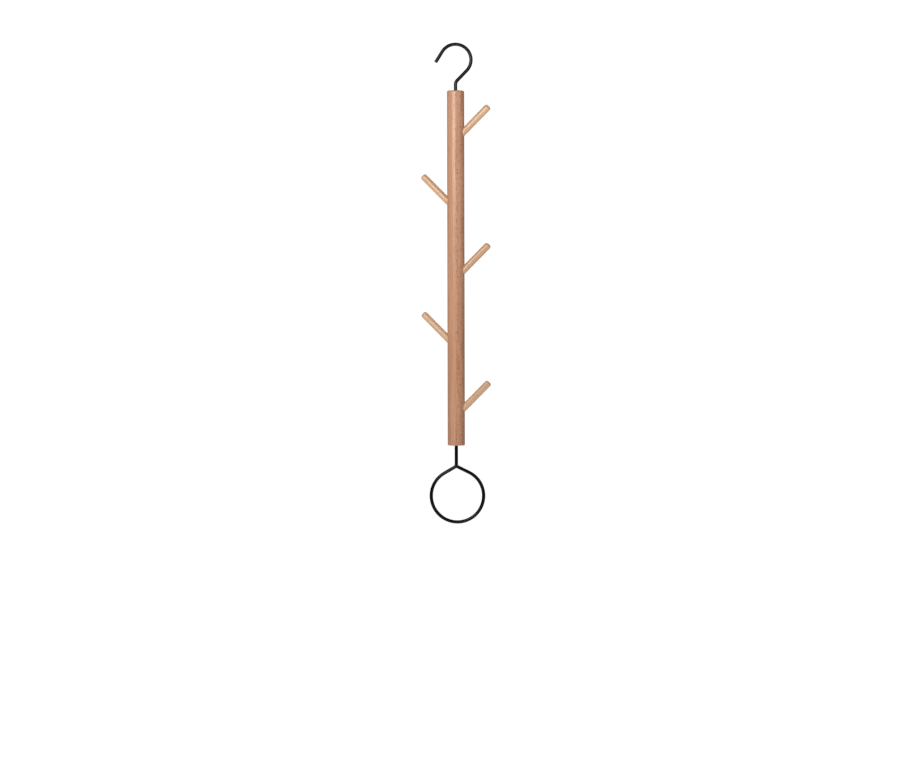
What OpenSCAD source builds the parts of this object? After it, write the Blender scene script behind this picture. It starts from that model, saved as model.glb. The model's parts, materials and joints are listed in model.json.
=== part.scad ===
// Hanging coat rack: a round beech pole with angled pegs, a hook to hang it from and a ring below.
// Millimetres, +Z up. The origin is the hook's seat, where the hook rests on whatever carries it.
// The hook and the ring lie in the XZ plane. The pegs' plane is turned about Z from it.

/* [Pole] */
// Diameter of the pole
pole_d = 20; // [18:1:30]
// Length of the pole
pole_l = 412; // [405:1:600]
// Rounding of the top end's rim
top_rim_r = 1.6; // [0.4:0.1:3]
// Rounding of the bottom end's rim
bottom_rim_r = 0.7; // [0.4:0.1:3]

/* [Pegs] */
// Number of pegs, right and left in turn
peg_count = 5; // [1:1:5]
// Diameter of a peg
peg_d = 8; // [6:0.5:9]
// Height from each peg to the next
peg_pitch = 80; // [50:1:80]
// Where the top peg's axis crosses the pole's axis, below the pole's top end
first_peg_drop = 57.5; // [45:0.5:62]
// How far a peg's tip stands from the pole's axis
peg_reach = 39; // [30:1:70]
// Angle of the pegs above the horizontal
peg_slope = 45; // [35:1:60]
// Turn of the pegs' plane about the pole, from the hook's plane
peg_turn = 11; // [-180:1:180]
// Rounding of a peg's tip
peg_tip_r = 2.4; // [0.5:0.1:2.8]
// How much thinner a peg is at its root, so that it wedges into its hole
root_taper = 0.5; // [0.4:0.1:1]

/* [Wire] */
// Diameter of the hook's and the ring's wire
wire_d = 4; // [3:0.5:4.5]
// Chamfer around a cut end of the wire
wire_chamfer = 0.4; // [0.1:0.1:0.8]

/* [Hook] */
// Centreline radius of the hook's arc
hook_r = 18; // [14:1:22]
// Height of the arc's centre above the pole's top end
hook_rise = 35.6; // [33:0.1:60]
// Slope of the straight between the stem and the arc, from the horizontal
hook_lean = 46; // [40:1:56]
// Centreline radius of the bend between the stem and that straight
hook_bend_r = 6; // [3:0.5:8]
// Slope of the hook's straight tip, from the horizontal
tip_slope = 58; // [30:1:80]
// Length of the hook's straight tip
tip_l = 14.7; // [4:0.1:25]

/* [Ring] */
// Centreline radius of the ring
ring_r = 30.5; // [20:0.5:33]
// Depth of the ring's centre below the fork of its arms
ring_depth = 34.6; // [33:0.1:60]
// How far the ring's centre is off the pole's axis
ring_shift = 1.2; // [0:0.1:2]
// Length of the stem from the pole to the fork
ring_stem = 24.3; // [12:0.1:60]
// Centreline radius of the bend between the stem and the first arm
ring_bend_r = 3.5; // [2.5:0.1:5]
// Radius of the weld bead that closes the ring at the fork
weld_r = 2.3; // [2.3:0.1:3]

/* [Swivels] */
// Diameter of a bush
bush_d = 9; // [9:0.5:11]
// Length of a bush
bush_l = 13; // [12:0.5:16]
// Diameter of the flat head on a wire's buried end
head_d = 7; // [6:0.5:7]
// Thickness of that head
head_t = 2.2; // [1.5:0.1:3]
// Running clearance, each side, between a wire and its bush
play = 0.05; // [0.02:0.01:0.1]

/* [Hidden] */
$fn = 96;
PEGS = [for (i = [1:peg_count]) str("peg_", i)];

BEECH = [0.82, 0.60, 0.44];
PALE_BEECH = [0.90, 0.75, 0.56];
BLACK = [0.06, 0.06, 0.065];
STEEL = [0.62, 0.62, 0.60];

// Heights. The hook rests on the inside of its arc, half a wire above the origin.
wire_r = wire_d / 2;
pole_r = pole_d / 2;
pole_top = wire_r - hook_r - hook_rise;
pole_bottom = pole_top - pole_l;

// Distances along a peg's axis from where it crosses the pole's axis.
peg_r = peg_d / 2;
root_r = peg_r - root_taper / 2;
root_end = -3;
root_chamfer = 0.6;
wood_end = (pole_r + peg_r * sin(peg_slope)) / cos(peg_slope); // the last touch of the pole
taper_start = ceil(wood_end + 0.5);
peg_end = peg_reach / cos(peg_slope);
drill_tip_l = root_r / tan(59); // a drill's point is 118 degrees

// Depths of a bush and its wire below the pole's end.
bush_sink = 0.3;
bush_chamfer = 0.5;
bearing_l = bush_l - 4;
bearing_end = bush_sink + bearing_l;
bush_end = bush_sink + bush_l;
head_room_r = head_d / 2 + 0.4;
wire_end = bearing_end + play + head_t;
bore_l = bush_end + 0.7;

// How a bend differs from the straight wire beside it.
bend_thinning = 0.01;
bend_lap = 0.5; // degrees

// The hook's straight is a tangent of its arc, and its line meets the pole's axis at hook_foot.
hook_turn = 90 - hook_lean;
hook_foot = hook_rise - hook_r / cos(hook_lean);
hook_bend_run = hook_bend_r * tan(hook_turn / 2);
hook_straight = (hook_rise - hook_foot) * sin(hook_lean) - hook_bend_run;
hook_sweep = 180 + tip_slope - hook_lean;

// The ring's arms are the two tangents from the fork to its circle.
ring_off = norm([ring_shift, ring_depth]);
ring_open = asin(ring_r / ring_off);
ring_turn = ring_open - atan(ring_shift / ring_depth);
ring_bend_run = ring_bend_r * tan(ring_turn / 2);
arm_l = sqrt(ring_off ^ 2 - ring_r ^ 2);
ring_sweep = 180 + 2 * ring_open;

// A turned rod of radius r from the origin up to l, with its upper rim rounded.
module rounded_rod(r, l, rim) {
    rotate_extrude() {
        square([r - rim, l]);
        square([r, l - rim]);
        translate([r - rim, l - rim])
            intersection() {
                circle(r = rim);
                square(rim);
            }
    }
}

// A straight run of wire up the Z axis. Children start at its end.
module run(l) {
    cylinder(d = wire_d, h = l);
    translate([0, 0, l]) children();
}

// A bend of wire that leaves the Z axis towards +X, or towards -X if the angle is negative.
// Bending draws the wire a hair thinner, and the bend laps into the runs beside it.
// Children start at its end.
module bend(r, angle) {
    side = sign(angle);
    translate([side * r, 0, 0])
        rotate([90, 0, 0])
            rotate_extrude(
                angle = abs(angle) + 2 * bend_lap,
                start = side > 0 ? 180 - angle - bend_lap : -bend_lap
            )
                translate([r, 0])
                    circle(r = wire_r - bend_thinning);
    translate([side * r * (1 - cos(angle)), 0, r * sin(abs(angle))])
        rotate([0, angle, 0]) children();
}

// The buried end of a wire: a flat head behind the bush's bearing. Children start at the pole's end.
module headed_end() {
    translate([0, 0, -wire_end]) {
        cylinder(d = head_d, h = head_t);
        cylinder(d = wire_d, h = wire_end);
    }
    children();
}

// A bush for the end that faces +Z, its bearing above and the room for the wire's head below.
module bush() {
    translate([0, 0, -bush_end])
        difference() {
            union() {
                cylinder(d1 = bush_d - 2 * bush_chamfer, d2 = bush_d, h = bush_chamfer);
                translate([0, 0, bush_chamfer]) cylinder(d = bush_d, h = bush_l - bush_chamfer);
            }
            translate([0, 0, -1]) cylinder(r = wire_r + play, h = bush_l + 2);
            translate([0, 0, -1]) cylinder(r = head_room_r, h = bush_l - bearing_l + 1);
        }
}

module at_peg(i) {
    translate([0, 0, pole_top - first_peg_drop - i * peg_pitch])
        rotate([0, 0, 180 * (i % 2) - peg_turn])
            rotate([0, 90 - peg_slope, 0])
                children();
}

module tapered_root() {
    translate([0, 0, root_end]) cylinder(r1 = root_r, r2 = peg_r, h = taper_start - root_end);
}

module pole() {
    color(BEECH)
        difference() {
            translate([0, 0, pole_bottom])
                union() {
                    translate([0, 0, pole_l / 2]) rounded_rod(pole_r, pole_l / 2, top_rim_r);
                    translate([0, 0, pole_l / 2])
                        mirror([0, 0, 1]) rounded_rod(pole_r, pole_l / 2, bottom_rim_r);
                }
            for (i = [0:peg_count - 1])
                at_peg(i) {
                    tapered_root();
                    translate([0, 0, root_end - drill_tip_l]) cylinder(r1 = 0, r2 = root_r, h = drill_tip_l);
                }
            translate([0, 0, pole_top - bore_l]) cylinder(d = bush_d, h = bore_l + 1);
            translate([0, 0, pole_bottom - 1]) cylinder(d = bush_d, h = bore_l + 1);
        }
}

module peg(i) {
    color(PALE_BEECH)
        at_peg(i) {
            difference() {
                tapered_root();
                translate([0, 0, root_end - 1])
                    difference() {
                        cylinder(r = peg_r, h = root_chamfer + 1);
                        translate([0, 0, 1])
                            cylinder(r1 = root_r - root_chamfer, r2 = root_r + 0.1, h = root_chamfer);
                    }
            }
            translate([0, 0, taper_start]) rounded_rod(peg_r, peg_end - taper_start, peg_tip_r);
        }
}

module hook() {
    color(BLACK)
        translate([0, 0, pole_top])
            headed_end()
                run(hook_foot - hook_bend_run)
                    bend(hook_bend_r, hook_turn)
                        run(hook_straight)
                            bend(hook_r, -hook_sweep)
                                run(tip_l - wire_chamfer)
                                    cylinder(r1 = wire_r, r2 = wire_r - wire_chamfer, h = wire_chamfer);
}

module ring() {
    color(BLACK)
        translate([0, 0, pole_bottom])
            rotate([180, 0, 0]) {
                headed_end()
                    run(ring_stem - ring_bend_run)
                        bend(ring_bend_r, -ring_turn)
                            run(arm_l - ring_bend_run)
                                bend(ring_r, ring_sweep)
                                    run(arm_l);
                translate([0, 0, ring_stem]) sphere(r = weld_r);
            }
}

module top_bush() {
    color(STEEL) translate([0, 0, pole_top]) bush();
}

module bottom_bush() {
    color(STEEL) translate([0, 0, pole_bottom]) rotate([180, 0, 0]) bush();
}

pole();
for (i = [0:peg_count - 1])
    peg(i);
hook();
top_bush();
ring();
bottom_bush();
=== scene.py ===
import json
import math

import bpy
import numpy as np
from mathutils import Euler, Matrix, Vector


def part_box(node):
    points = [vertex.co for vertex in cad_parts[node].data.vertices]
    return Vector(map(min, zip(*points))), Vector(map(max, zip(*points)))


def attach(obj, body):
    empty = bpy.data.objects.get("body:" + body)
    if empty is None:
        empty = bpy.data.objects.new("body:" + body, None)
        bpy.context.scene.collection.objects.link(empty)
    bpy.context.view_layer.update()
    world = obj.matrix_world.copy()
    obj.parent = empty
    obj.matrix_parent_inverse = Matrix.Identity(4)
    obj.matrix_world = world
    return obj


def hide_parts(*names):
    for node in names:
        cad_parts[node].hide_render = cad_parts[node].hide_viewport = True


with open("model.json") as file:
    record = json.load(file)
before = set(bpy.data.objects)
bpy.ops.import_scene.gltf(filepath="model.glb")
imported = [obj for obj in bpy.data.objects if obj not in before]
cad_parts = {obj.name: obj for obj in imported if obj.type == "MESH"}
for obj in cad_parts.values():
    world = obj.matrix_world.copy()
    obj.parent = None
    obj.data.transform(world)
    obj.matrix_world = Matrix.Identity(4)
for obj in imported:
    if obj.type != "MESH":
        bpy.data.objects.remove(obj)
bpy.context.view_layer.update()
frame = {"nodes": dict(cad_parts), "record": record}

# Everything is in metres, in the row frame: +Z up, the hook's seat at the origin.
MM = 0.001

# The wire of the hook and the ring, as the CAD model has it. Its buried end has a flat head.
WIRE_R = 2.0 * MM
END_ROUNDING = 0.4 * MM
HEAD_R = 3.5 * MM
HEAD_T = 2.2 * MM
HEAD_ROUNDING = 0.4 * MM
WIRE_END = 11.55 * MM  # from the pole's end in to the head's far face

HOOK_R = 18.0 * MM
HOOK_RISE = 35.6 * MM
HOOK_LEAN = math.radians(46)
HOOK_BEND_R = 6.0 * MM
TIP_SLOPE = math.radians(58)
TIP_L = 14.7 * MM

RING_R = 30.5 * MM
RING_DEPTH = 34.6 * MM
RING_SHIFT = 1.2 * MM
RING_STEM = 24.3 * MM
RING_BEND_R = 3.5 * MM
RING_OFF = math.hypot(RING_SHIFT, RING_DEPTH)  # from the fork to the ring's centre
RING_OPENING = math.asin(RING_R / RING_OFF)  # between that line and each arm
RING_TILT = math.atan(RING_SHIFT / RING_DEPTH)  # of that line, from the vertical

# How finely the wires are drawn.
WIRE_SIDES = 40
RUN_STEP = 2.0 * MM
BEND_STEP = math.radians(2.5)
ROUNDING_STEPS = 5
POINT_R = 1e-9  # a section thinner than this is one point

# The fillet of weld metal at the ring's fork.
WELD_BLEND = 0.28 * MM  # how softly the wires flow together
WELD_SINK = 0.16 * MM  # how far its skin lies under the wires' own skin
WELD_REACH = 5.0 * MM
WELD_SUBDIVISIONS = 5
WELD_HALVINGS = 40

POLE_LOW, POLE_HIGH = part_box("pole")
POLE_TOP = POLE_HIGH[2]
POLE_BOTTOM = POLE_LOW[2]
MOUNTS = {mount["name"]: mount for mount in frame["record"]["mounts"]}

# ---------------------------------------------------------------- wire shapes


class Path:
    """A path in a plane, drawn by a pen that starts at (0, start) and heads along +v."""

    def __init__(self, start):
        self.at = np.array([0.0, start])
        self.heading = math.pi / 2
        self.points = [self.at.copy()]
        self.headings = [self.heading]

    def step(self, point, heading):
        self.at = point
        self.heading = heading
        self.points.append(point.copy())
        self.headings.append(heading)

    def run(self, length):
        """A straight."""
        count = max(1, math.ceil(length / RUN_STEP))
        direction = np.array([math.cos(self.heading), math.sin(self.heading)])
        start = self.at.copy()
        for k in range(1, count + 1):
            self.step(start + direction * length * k / count, self.heading)

    def bend(self, radius, angle):
        """An arc, to the left where the angle is positive."""
        count = max(1, math.ceil(abs(angle) / BEND_STEP))
        side = math.copysign(1.0, angle)
        first = self.heading
        centre = self.at + side * radius * np.array([-math.sin(first), math.cos(first)])
        for k in range(1, count + 1):
            heading = first + angle * k / count
            self.step(centre + side * radius * np.array([math.sin(heading), -math.cos(heading)]), heading)


def rounded_rim(radius, rounding):
    """(distance in from the end, radius) pairs over the rounded rim of a cut end, from its flat outwards."""
    pairs = []
    for k in range(ROUNDING_STEPS + 1):
        angle = math.pi / 2 * k / ROUNDING_STEPS
        pairs.append((rounding * (1 - math.cos(angle)), radius - rounding * (1 - math.sin(angle))))
    return pairs


def rounded_end(radius, rounding):
    """The same pairs over a whole cut end, from its centre outwards."""
    return [(0.0, 0.0), (0.0, (radius - rounding) / 2)] + rounded_rim(radius, rounding)


def mesh_object(name, vertices, faces):
    """A smooth-shaded mesh object."""
    mesh = bpy.data.meshes.new(name)
    mesh.from_pydata([tuple(v) for v in vertices], [], faces)
    mesh.validate()
    mesh.update()
    mesh.shade_smooth()
    made = bpy.data.objects.new(name, mesh)
    bpy.context.scene.collection.objects.link(made)
    return made


def section_vertices(point, heading, radius, place):
    """The vertices round one section of a bar, or a single one where it has no radius."""
    if radius < POINT_R:
        return [place(point[0], point[1], 0.0)]
    across = np.array([-math.sin(heading), math.cos(heading)])
    vertices = []
    for k in range(WIRE_SIDES):
        angle = 2 * math.pi * k / WIRE_SIDES
        u, v = point + across * radius * math.cos(angle)
        vertices.append(place(u, v, radius * math.sin(angle)))
    return vertices


def section_faces(low, high):
    """The faces between two sections, given as lists of vertex numbers."""
    faces = []
    for k in range(WIRE_SIDES):
        n = (k + 1) % WIRE_SIDES
        if len(low) == 1:
            faces.append((low[0], high[n], high[k]))
        elif len(high) == 1:
            faces.append((low[k], low[n], high[0]))
        else:
            faces.append((low[k], low[n], high[n], high[k]))
    return faces


def swept(name, sections, place):
    """A round bar through (point, heading, radius) sections. place maps the path's plane to the frame."""
    vertices = []
    rings = []
    for point, heading, radius in sections:
        added = section_vertices(point, heading, radius, place)
        rings.append(range(len(vertices), len(vertices) + len(added)))
        vertices += added
    faces = []
    for low, high in zip(rings, rings[1:]):
        faces += section_faces(low, high)
    return mesh_object(name, vertices, faces)


def head_sections():
    """The sections of the flat head on a wire's buried end."""
    foot = -WIRE_END
    up = math.pi / 2
    sections = []
    for inset, radius in rounded_end(HEAD_R, HEAD_ROUNDING):
        sections.append((np.array([0.0, foot + inset]), up, radius))
    for inset, radius in reversed(rounded_rim(HEAD_R, HEAD_ROUNDING)):
        sections.append((np.array([0.0, foot + HEAD_T - inset]), up, radius))
    return sections


def wire_sections(path, rounded_tip):
    """The sections of a wire along a path: its head, the wire, and a tip that is rounded or a plain flat."""
    sections = head_sections()
    for point, heading in zip(path.points, path.headings):
        sections.append((point, heading, WIRE_R))
    end = path.points[-1]
    heading = path.headings[-1]
    along = np.array([math.cos(heading), math.sin(heading)])
    if rounded_tip:
        sections.pop()
        for inset, radius in reversed(rounded_end(WIRE_R, END_ROUNDING)):
            sections.append((end - along * inset, heading, radius))
    else:
        sections.append((end, heading, 0.0))
    return sections


def hook_path():
    """The hook: up out of the pole, over to the right, round the rail and down to a straight tip."""
    turn = math.pi / 2 - HOOK_LEAN
    foot = HOOK_RISE - HOOK_R / math.cos(HOOK_LEAN)
    bend_run = HOOK_BEND_R * math.tan(turn / 2)
    path = Path(HEAD_T - WIRE_END)
    path.run(foot - bend_run - path.at[1])
    path.bend(HOOK_BEND_R, -turn)
    path.run((HOOK_RISE - foot) * math.sin(HOOK_LEAN) - bend_run)
    path.bend(HOOK_R, math.pi + TIP_SLOPE - HOOK_LEAN)
    path.run(TIP_L)
    return path


def ring_path():
    """The ring: down out of the pole, out along the left arm, round and back up the right arm."""
    turn = RING_OPENING - RING_TILT
    bend_run = RING_BEND_R * math.tan(turn / 2)
    arm = math.sqrt(RING_OFF**2 - RING_R**2)
    path = Path(HEAD_T - WIRE_END)
    path.run(RING_STEM - bend_run - path.at[1])
    path.bend(RING_BEND_R, turn)
    path.run(arm - bend_run)
    path.bend(RING_R, -(math.pi + 2 * RING_OPENING))
    path.run(arm)
    return path


def above_pole(u, v, w):
    """A point of the hook's path, v above the pole's top end and w towards the viewer."""
    return u, -w, POLE_TOP + v


def below_pole(u, v, w):
    """A point of the ring's path, v below the pole's bottom end and w away from the viewer."""
    return u, w, POLE_BOTTOM - v


hook_wire = swept("hook_wire", wire_sections(hook_path(), rounded_tip=True), above_pole)
ring_wire = swept("ring_wire", wire_sections(ring_path(), rounded_tip=False), below_pole)

# ---------------------------------------------------------------- the ring's weld


def half_line_distance(points, start, direction):
    """Distance of points from a half-line."""
    offset = points - start
    along = np.maximum(offset @ direction, 0.0)
    return np.linalg.norm(offset - along[:, None] * direction, axis=1)


def smooth_union(points, fork, arms):
    """Below zero inside the wires that run out from the fork along the arms, blended where they meet."""
    total = np.zeros(len(points))
    for arm in arms:
        total += np.exp(-(half_line_distance(points, fork, arm) - WIRE_R) / WELD_BLEND)
    return -WELD_BLEND * np.log(total)


def ring_arm(angle):
    """The direction of an arm at an angle from straight down, to the right where it is positive."""
    return np.array([math.sin(angle), 0.0, -math.cos(angle)])


def ring_weld(name):
    """A ball of weld metal at the fork, pushed out to the wires' smooth union. Away from the fillet its skin
    lies just under the wires' skin."""
    fork = np.array([0.0, 0.0, POLE_BOTTOM - RING_STEM])
    stem = np.array([0.0, 0.0, 1.0])
    arms = [stem, ring_arm(-RING_OPENING + RING_TILT), ring_arm(RING_OPENING + RING_TILT)]
    bpy.ops.mesh.primitive_ico_sphere_add(subdivisions=WELD_SUBDIVISIONS, radius=1.0)
    weld = bpy.context.active_object
    weld.name = name
    weld.data.name = name
    directions = np.array([v.co[:] for v in weld.data.vertices])
    directions /= np.linalg.norm(directions, axis=1)[:, None]
    low = np.zeros(len(directions))
    high = np.full(len(directions), WELD_REACH)
    for _ in range(WELD_HALVINGS):
        middle = (low + high) / 2
        inside = smooth_union(fork + directions * middle[:, None], fork, arms) < -WELD_SINK
        low = np.where(inside, middle, low)
        high = np.where(inside, high, middle)
    for vertex, direction, distance in zip(weld.data.vertices, directions, low):
        vertex.co = Vector(fork + direction * distance)
    weld.data.shade_smooth()
    return weld


ring_weld_bead = ring_weld("ring_weld")

# ---------------------------------------------------------------- material tools

# sRGB's display curve.
SRGB_LINEAR_TOP = 0.04045
SRGB_LINEAR_SLOPE = 12.92
SRGB_OFFSET = 0.055
SRGB_POWER = 2.4

# The Mix node's colour sockets have the same names as its others, so they go by number.
MIX_A = 6
MIX_B = 7
MIX_RESULT = 2

# The range that most of a noise's values lie in.
NOISE_LOW = 0.3
NOISE_HIGH = 0.7


def rgb(red, green, blue):
    """A colour from its 0-255 display values."""
    linear = []
    for value in (red, green, blue):
        level = value / 255
        if level <= SRGB_LINEAR_TOP:
            linear.append(level / SRGB_LINEAR_SLOPE)
        else:
            linear.append(((level + SRGB_OFFSET) / (1 + SRGB_OFFSET)) ** SRGB_POWER)
    return (*linear, 1.0)


class Graph:
    """A material's nodes. Each call adds one node and gives its output."""

    def __init__(self, name):
        self.material = bpy.data.materials.new(name)
        self.material.use_nodes = True
        self.tree = self.material.node_tree
        self.shader = self.tree.nodes["Principled BSDF"]

    def put(self, node, key, value):
        if isinstance(value, bpy.types.NodeSocket):
            self.tree.links.new(value, node.inputs[key])
        else:
            node.inputs[key].default_value = value

    def add(self, kind, inputs, output=0, **settings):
        node = self.tree.nodes.new("ShaderNode" + kind)
        for key, value in settings.items():
            setattr(node, key, value)
        for key, value in inputs.items():
            self.put(node, key, value)
        return node.outputs[output]

    def coordinates(self, output="Object"):
        return self.add("TexCoord", {}, output)

    def placed(self, vector, location, rotation):
        """The vector in the frame of something at that location and rotation."""
        return self.add("Mapping", {0: vector, 1: location, 2: rotation}, vector_type="TEXTURE")

    def scaled(self, vector, scale):
        return self.add("VectorMath", {0: vector, 1: scale}, operation="MULTIPLY")

    def shifted(self, vector, offset):
        return self.add("VectorMath", {0: vector, 1: offset}, operation="ADD")

    def dot(self, a, b):
        return self.add("VectorMath", {0: a, 1: b}, "Value", operation="DOT_PRODUCT")

    def length(self, vector):
        return self.add("VectorMath", {0: vector}, "Value", operation="LENGTH")

    def math(self, operation, *values):
        return self.add("Math", dict(enumerate(values)), operation=operation)

    def fade(self, value, start, end, low=0.0, high=1.0):
        """low where value is at start, high at end, and smooth between them."""
        inputs = {"Value": value, "From Min": start, "From Max": end, "To Min": low, "To Max": high}
        return self.add("MapRange", inputs, interpolation_type="SMOOTHSTEP")

    def swing(self, noise, low, high):
        """low to high as a noise goes through the middle of its range."""
        return self.fade(noise, NOISE_LOW, NOISE_HIGH, low, high)

    def noise(self, vector, scale, detail):
        return self.add("TexNoise", {"Vector": vector, "Scale": scale, "Detail": detail})

    def stretched_noise(self, vector, scale, detail):
        """Noise with its own scale along each axis."""
        return self.noise(self.scaled(vector, scale), 1.0, detail)

    def cells(self, vector):
        """(distance from the nearest of a set of scattered points, a random number for that point)."""
        inputs = {"Vector": vector, "Scale": 1.0}
        distance = self.add("TexVoronoi", inputs, "Distance", distance="MANHATTAN")
        colour = distance.node.outputs["Color"]
        return distance, self.add("SeparateColor", {0: colour}, "Red")

    def mix(self, factor, a, b, blend="MIX"):
        inputs = {"Factor": factor, MIX_A: a, MIX_B: b}
        return self.add("Mix", inputs, MIX_RESULT, data_type="RGBA", blend_type=blend)

    def bump(self, height, distance, strength):
        inputs = {"Height": height, "Distance": distance, "Strength": strength}
        return self.add("Bump", inputs)

    def finish(self, **sockets):
        """Sets the shader's sockets and gives the material."""
        for key, value in sockets.items():
            self.put(self.shader, key.replace("_", " "), value)
        return self.material


def paint(objects, material):
    for made in objects:
        made.data.materials.clear()
        made.data.materials.append(material)


# ---------------------------------------------------------------- beech

# The wood's patterns repeat this often in a millimetre, out from the heart, around it and along the grain.
RINGS = (0.40, 0.05, 0.004)
RING_DRIFT = (0.04, 0.04, 0.010)
RING_WAVER = (0.3, 0.3, 0.02)
COARSE_FIBRES = (1.1, 1.1, 0.020)
FINE_FIBRES = (5.0, 5.0, 0.09)
TONE_PATCHES = (0.07, 0.07, 0.010)
BIG_RAYS = (0.060, 1.05, 0.20)
SMALL_RAYS = (0.12, 2.0, 0.40)

RING_DRIFT_AMOUNT = 5.0
RING_WAVER_AMOUNT = 0.5
RAY_EDGE = 0.46  # how far from its middle a ray's mark ends
SMALL_RAY_DEPTH = 0.7

# Where in the wood each piece is cut, for each step of its seed, in millimetres.
SEED_SHIFT = (17.3, -9.1, 31.7)

BASE_TONE = 0.25
LATEWOOD_TONE = 0.34
RAY_COVER = 0.95
FLAKE_COVER = 0.35
END_GRAIN_TONE = 0.5
MARK_DULLING = 0.12
END_GRAIN_DULLING = 0.2
MARK_HEIGHT = -0.6
FINE_HEIGHT = 0.3
COARSE_HEIGHT = 0.5
WOOD_BUMP = 0.005 * MM
WOOD_BUMP_STRENGTH = 0.6


def latewood(g, wood):
    """Growth rings: sheets across +X that wander a little. Each darkens slowly and ends in a dark line."""
    drift = g.stretched_noise(wood, RING_DRIFT, detail=2.0)
    waver = g.stretched_noise(wood, RING_WAVER, detail=1.0)
    phase = g.math("MULTIPLY_ADD", drift, RING_DRIFT_AMOUNT, g.dot(wood, RINGS))
    ring = g.math("FRACT", g.math("MULTIPLY_ADD", waver, RING_WAVER_AMOUNT, phase))
    darkening = g.fade(ring, start=0.30, end=0.93)
    line_end = g.fade(ring, start=1.0, end=0.94)
    return g.math("MULTIPLY", darkening, line_end)


def rays(g, wood, scale, core, never, always):
    """One set of ray marks. A mark is full at core. A cell has none if its random number is under never, and
    a full one if it is over always."""
    distance, chance = g.cells(g.scaled(wood, scale))
    return g.math("MULTIPLY", g.fade(distance, RAY_EDGE, core), g.fade(chance, never, always))


def ray_marks(g, wood):
    """Rays are ribbons along +X, of two sizes."""
    big = rays(g, wood, BIG_RAYS, core=0.18, never=0.2, always=0.5)
    small = rays(g, wood, SMALL_RAYS, core=0.14, never=0.1, always=0.5)
    return g.math("MAXIMUM", big, g.math("MULTIPLY", small, SMALL_RAY_DEPTH))


def facing(g, direction, start, end):
    """How far the surface faces along or against a direction."""
    return g.fade(g.math("ABSOLUTE", g.dot(g.coordinates("Normal"), tuple(direction))), start, end)


def beech(name, pale, deep, dark, flecked, figured, centre, turn, seed):
    """Turned and lacquered beech. centre is a point on the piece's axis. turn takes +Z along the grain and +X
    out from the heart of the tree. flecked and figured say how strongly the rays and the fibres show."""
    g = Graph(name)
    place = g.placed(g.coordinates(), centre, tuple(turn.to_euler()))
    millimetres = g.scaled(place, (1 / MM, 1 / MM, 1 / MM))
    wood = g.shifted(millimetres, tuple(seed * shift for shift in SEED_SHIFT))

    rings = latewood(g, wood)
    coarse = g.stretched_noise(wood, COARSE_FIBRES, detail=3.0)
    fine = g.stretched_noise(wood, FINE_FIBRES, detail=2.0)
    patch = g.stretched_noise(wood, TONE_PATCHES, detail=1.0)
    mark = g.math("MULTIPLY", ray_marks(g, wood), flecked)

    # Cut across, the rays are short dark spindles. Cut along, they are pale flakes.
    flake = facing(g, turn @ Vector((0.0, 1.0, 0.0)), start=0.55, end=0.95)
    end_grain = facing(g, turn @ Vector((0.0, 0.0, 1.0)), start=0.75, end=0.97)

    fibres = g.math("ADD", g.swing(coarse, low=-0.20, high=0.20), g.swing(fine, low=-0.12, high=0.16))
    tone = g.math("MULTIPLY_ADD", rings, LATEWOOD_TONE, g.math("MULTIPLY_ADD", fibres, figured, BASE_TONE))
    tone = g.math("ADD", tone, g.swing(patch, low=-0.12, high=0.20))
    colour = g.mix(tone, pale, deep)
    ray_colour = g.mix(flake, dark, pale)
    cover = g.math("MULTIPLY", mark, g.fade(flake, start=0.0, end=1.0, low=RAY_COVER, high=FLAKE_COVER))
    colour = g.mix(cover, colour, ray_colour)
    colour = g.mix(g.math("MULTIPLY", end_grain, END_GRAIN_TONE), colour, deep, "MULTIPLY")

    # The rays' marks are sunk a little and duller, and the end grain is duller too.
    pores = g.math("MULTIPLY_ADD", mark, MARK_HEIGHT, g.math("MULTIPLY", fine, FINE_HEIGHT))
    surface = g.math("MULTIPLY_ADD", coarse, COARSE_HEIGHT, pores)
    roughness = g.math("MULTIPLY_ADD", mark, MARK_DULLING, g.swing(coarse, low=0.26, high=0.33))
    roughness = g.math("MULTIPLY_ADD", end_grain, END_GRAIN_DULLING, roughness)
    bump = g.bump(surface, WOOD_BUMP * figured, WOOD_BUMP_STRENGTH)
    return g.finish(Base_Color=colour, Roughness=roughness, Normal=bump)


POLE_PALE = (211, 160, 128)
POLE_DEEP = (181, 125, 92)
POLE_RAYS = (118, 56, 36)
POLE_HEART = math.radians(-50)  # the way out from the heart, about Z from +X

# Each peg is cut from its own place in the wood. Its warmth, from 0 to 1, takes up to the second colour of a
# pair away from the first.
PEG_PALE = ((225, 186, 150), (5, 7, 8))
PEG_DEEP = ((196, 148, 108), (5, 7, 7))
PEG_RAYS = (150, 98, 62)
PEG_TURN = 1.9  # radians from one peg's heart to the next one's
PEG_WARMTH = 0.37
PEG_SEED = 2.0
PEG_SEED_STEP = 1.7


def pole_wood():
    heart = Euler((0.0, 0.0, POLE_HEART)).to_quaternion()
    return beech("pole_beech_wood", rgb(*POLE_PALE), rgb(*POLE_DEEP), rgb(*POLE_RAYS),
                 flecked=1.0, figured=1.0, centre=(0.0, 0.0, 0.0), turn=heart, seed=1.0)


def warmed(colour, change, warmth):
    return rgb(*(level - step * warmth for level, step in zip(colour, change)))


def peg_wood(number, name):
    end = MOUNTS[name + "_end"]
    along = Vector(end["axis"]).to_track_quat("Z", "X")
    heart = along @ Euler((0.0, 0.0, PEG_TURN * number)).to_quaternion()
    warmth = (number * PEG_WARMTH) % 1.0
    pale = warmed(*PEG_PALE, warmth)
    deep = warmed(*PEG_DEEP, warmth)
    return beech(name + "_beech_wood", pale, deep, rgb(*PEG_RAYS), flecked=0.3, figured=0.45,
                 centre=tuple(end["pos_m"]), turn=heart, seed=PEG_SEED + PEG_SEED_STEP * number)


# ---------------------------------------------------------------- paint and steel

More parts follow.
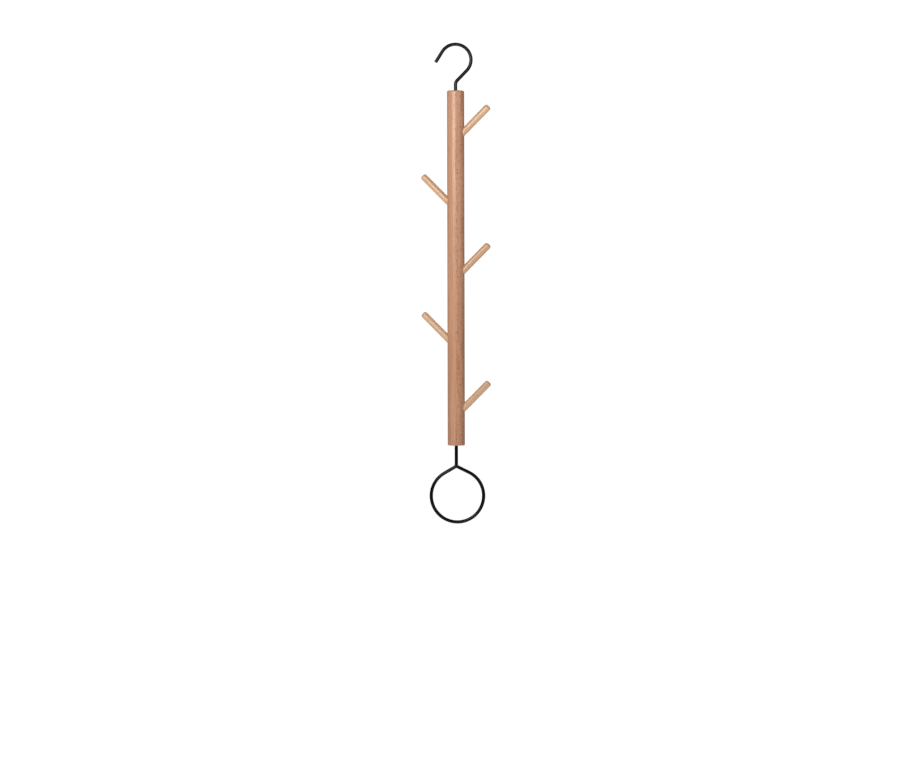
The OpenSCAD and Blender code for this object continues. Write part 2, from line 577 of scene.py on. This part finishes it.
# The paint's textures, as features in a metre.
PEEL_SCALE = 1900.0
SPECKLE_SCALE = 6500.0
CLOUD_SCALE = 60.0
SCRATCH_SCALE = (300.0, 5200.0, 300.0)
PAINT_BLACK = (4, 4, 5)
PAINT_GREY = (7, 7, 7)
BARE_STEEL = (92, 90, 88)
PAINT_SPECULAR = 0.22
RUB_REACH = 7.0 * MM
RUB_CORE = 0.4  # of that reach
RUB_COVER = 0.8
RUB_METAL = 0.6
RUB_POLISH = -0.08
SPECKLE_HEIGHT = 0.25
PAINT_BUMP = 0.006 * MM
PAINT_BUMP_STRENGTH = 0.5


def black_paint(name):
    """Satin black paint on steel wire, rubbed smooth and thin around the origin, where the hook bears."""
    g = Graph(name)
    point = g.coordinates()
    peel = g.noise(point, PEEL_SCALE, detail=2.0)
    speckle = g.noise(point, SPECKLE_SCALE, detail=1.0)
    cloud = g.noise(point, CLOUD_SCALE, detail=2.0)
    near = g.fade(g.length(point), RUB_REACH, RUB_REACH * RUB_CORE)
    scratch = g.stretched_noise(point, SCRATCH_SCALE, detail=2.0)
    rubbed = g.math("MULTIPLY", near, g.fade(scratch, start=0.46, end=0.66))
    colour = g.mix(g.fade(cloud, start=0.35, end=0.65), rgb(*PAINT_BLACK), rgb(*PAINT_GREY))
    colour = g.mix(g.math("MULTIPLY", rubbed, RUB_COVER), colour, rgb(*BARE_STEEL))
    roughness = g.math("MULTIPLY_ADD", near, RUB_POLISH, g.swing(cloud, low=0.21, high=0.28))
    metal = g.math("MULTIPLY", rubbed, RUB_METAL)
    height = g.math("MULTIPLY_ADD", speckle, SPECKLE_HEIGHT, peel)
    bump = g.bump(height, PAINT_BUMP, PAINT_BUMP_STRENGTH)
    return g.finish(Base_Color=colour, Roughness=roughness, Metallic=metal,
                    Specular_IOR_Level=PAINT_SPECULAR, Normal=bump)


# The steel's textures, as features in a metre, and its turning marks, as radians in a metre outwards.
DRIFT_SCALE = 300.0
STAIN_SCALE = 420.0
TURNING_MARKS = 42000.0
TURNING_DRIFT = 3.0
STEEL_BRIGHT = (196, 196, 192)
STEEL_DULL = (150, 148, 142)
STEEL_BUMP = 0.006 * MM
STEEL_BUMP_STRENGTH = 0.6


def turned_steel(name):
    """Zinc-plated steel with the fine rings of turning on its end."""
    g = Graph(name)
    point = g.coordinates()
    across = g.length(g.scaled(point, (1, 1, 0)))
    drift = g.noise(point, DRIFT_SCALE, detail=1.0)
    wander = g.math("MULTIPLY", drift, TURNING_DRIFT)
    marks = g.math("SINE", g.math("MULTIPLY_ADD", across, TURNING_MARKS, wander))
    stain = g.noise(point, STAIN_SCALE, detail=3.0)
    colour = g.mix(g.fade(stain, start=0.35, end=0.7), rgb(*STEEL_BRIGHT), rgb(*STEEL_DULL))
    roughness = g.swing(stain, low=0.26, high=0.42)
    bump = g.bump(marks, STEEL_BUMP, STEEL_BUMP_STRENGTH)
    return g.finish(Base_Color=colour, Metallic=1.0, Roughness=roughness, Normal=bump)


# ---------------------------------------------------------------- looks and places of the pieces

nodes = frame["nodes"]
paint([nodes["pole"]], pole_wood())
peg_names = sorted(name for name in nodes if name.startswith("peg_"))
for number, name in enumerate(peg_names):
    paint([nodes[name]], peg_wood(number, name))
paint([hook_wire, ring_wire, ring_weld_bead], black_paint("wire_black_paint"))
paint([nodes["top_bush"], nodes["bottom_bush"]], turned_steel("bush_turned_steel"))

for piece, body in ((hook_wire, "hook"), (ring_wire, "ring"), (ring_weld_bead, "ring")):
    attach(piece, body)
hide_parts("hook")
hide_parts("ring")

# ---------------------------------------------------------------- floor, light and camera

FLOOR_DROP = 3.2
FLOOR_R = 15.0
FLOOR_NEAR_R = 8.0
FLOOR_NEAR_GLOW = 0.60
FLOOR_RIM_GLOW = 1.0
FLOOR_SIDES = 96
FLOOR_ROUGHNESS = 0.9
FLOOR_TINT_SCALE = 0.4
FLOOR_PALE = (246, 246, 245)
FLOOR_DEEP = (240, 240, 239)
WHITE = (255, 255, 255)


def floor_disc():
    """A wide plain floor, well below the rack, that glows pale near the middle and white at its rim."""
    rim = []
    for k in range(FLOOR_SIDES):
        angle = 2 * math.pi * k / FLOOR_SIDES
        rim.append((FLOOR_R * math.cos(angle), FLOOR_R * math.sin(angle), -FLOOR_DROP))
    disc = mesh_object("floor", rim, [tuple(range(FLOOR_SIDES))])
    g = Graph("floor_pale")
    out = g.length(g.scaled(g.coordinates(), (1, 1, 0)))
    tint = g.noise(g.coordinates(), FLOOR_TINT_SCALE, detail=2.0)
    colour = g.mix(tint, rgb(*FLOOR_PALE), rgb(*FLOOR_DEEP))
    glow = g.fade(out, FLOOR_NEAR_R, FLOOR_R, FLOOR_NEAR_GLOW, FLOOR_RIM_GLOW)
    paint([disc], g.finish(Base_Color=colour, Roughness=FLOOR_ROUGHNESS, Emission_Color=rgb(*WHITE),
                           Emission_Strength=glow))


floor_disc()


def area_light(name, position, target, width, height, power):
    """A rectangle of light that the camera doesn't see, with its power in watts."""
    light = bpy.data.lights.new(name, "AREA")
    light.shape = "RECTANGLE"
    light.size = width
    light.size_y = height
    light.energy = power
    made = bpy.data.objects.new(name, light)
    made.location = position
    made.rotation_euler = (Vector(target) - Vector(position)).to_track_quat("-Z", "Y").to_euler()
    made.visible_camera = False
    bpy.context.scene.collection.objects.link(made)


# The key light is small and near, and puts the bright strip on the pole. The others are broad and soft.
area_light("key", position=(-0.40, -0.92, 0.045), target=(0, 0, -0.08), width=0.68, height=0.37, power=7.7)
area_light("side", position=(-1.4, -0.4, 0.5), target=(0, 0, -0.15), width=1.0, height=1.2, power=2.2)
area_light("fill", position=(1.6, -1.2, 0.5), target=(0, 0, -0.15), width=1.2, height=1.2, power=7.0)
area_light("back", position=(0.5, 1.6, 0.9), target=(0, 0, -0.20), width=1.4, height=1.0, power=15.0)

WORLD_SEEN = 1.05
WORLD_LIGHT = 0.08


def studio_world():
    """White behind the object, and a dimmer soft light from all round."""
    world = bpy.data.worlds.new("studio")
    world.use_nodes = True
    tree = world.node_tree
    background = tree.nodes["Background"]
    background.inputs["Color"].default_value = rgb(*WHITE)
    seen = tree.nodes.new("ShaderNodeLightPath").outputs["Is Camera Ray"]
    strength = tree.nodes.new("ShaderNodeMapRange")
    strength.inputs["To Min"].default_value = WORLD_LIGHT
    strength.inputs["To Max"].default_value = WORLD_SEEN
    tree.links.new(seen, strength.inputs["Value"])
    tree.links.new(strength.outputs[0], background.inputs["Strength"])
    bpy.context.scene.world = world


studio_world()

# The camera stands a little above the object's middle and looks slightly down.
CAMERA_AT = Vector((-0.0072, -4.0, -0.2482))
CAMERA_TO = Vector((-0.0072, 0.0, -0.3916))
CAMERA_ROLL = math.radians(-0.13)
CAMERA_LENS = 137.6  # millimetres
CAMERA_SENSOR = 36.0  # millimetres wide
CAMERA_NEAREST = 0.01
CAMERA_FARTHEST = 100.0


def studio_camera():
    data = bpy.data.cameras.new("camera")
    data.sensor_width = CAMERA_SENSOR
    data.lens = CAMERA_LENS
    data.clip_start = CAMERA_NEAREST
    data.clip_end = CAMERA_FARTHEST
    camera = bpy.data.objects.new("camera", data)
    camera.location = CAMERA_AT
    aim = (CAMERA_TO - CAMERA_AT).to_track_quat("-Z", "Y")
    camera.rotation_euler = (aim @ Euler((0.0, 0.0, CAMERA_ROLL)).to_quaternion()).to_euler()
    bpy.context.scene.collection.objects.link(camera)
    bpy.context.scene.camera = camera


studio_camera()
bpy.context.scene.view_settings.view_transform = "Standard"
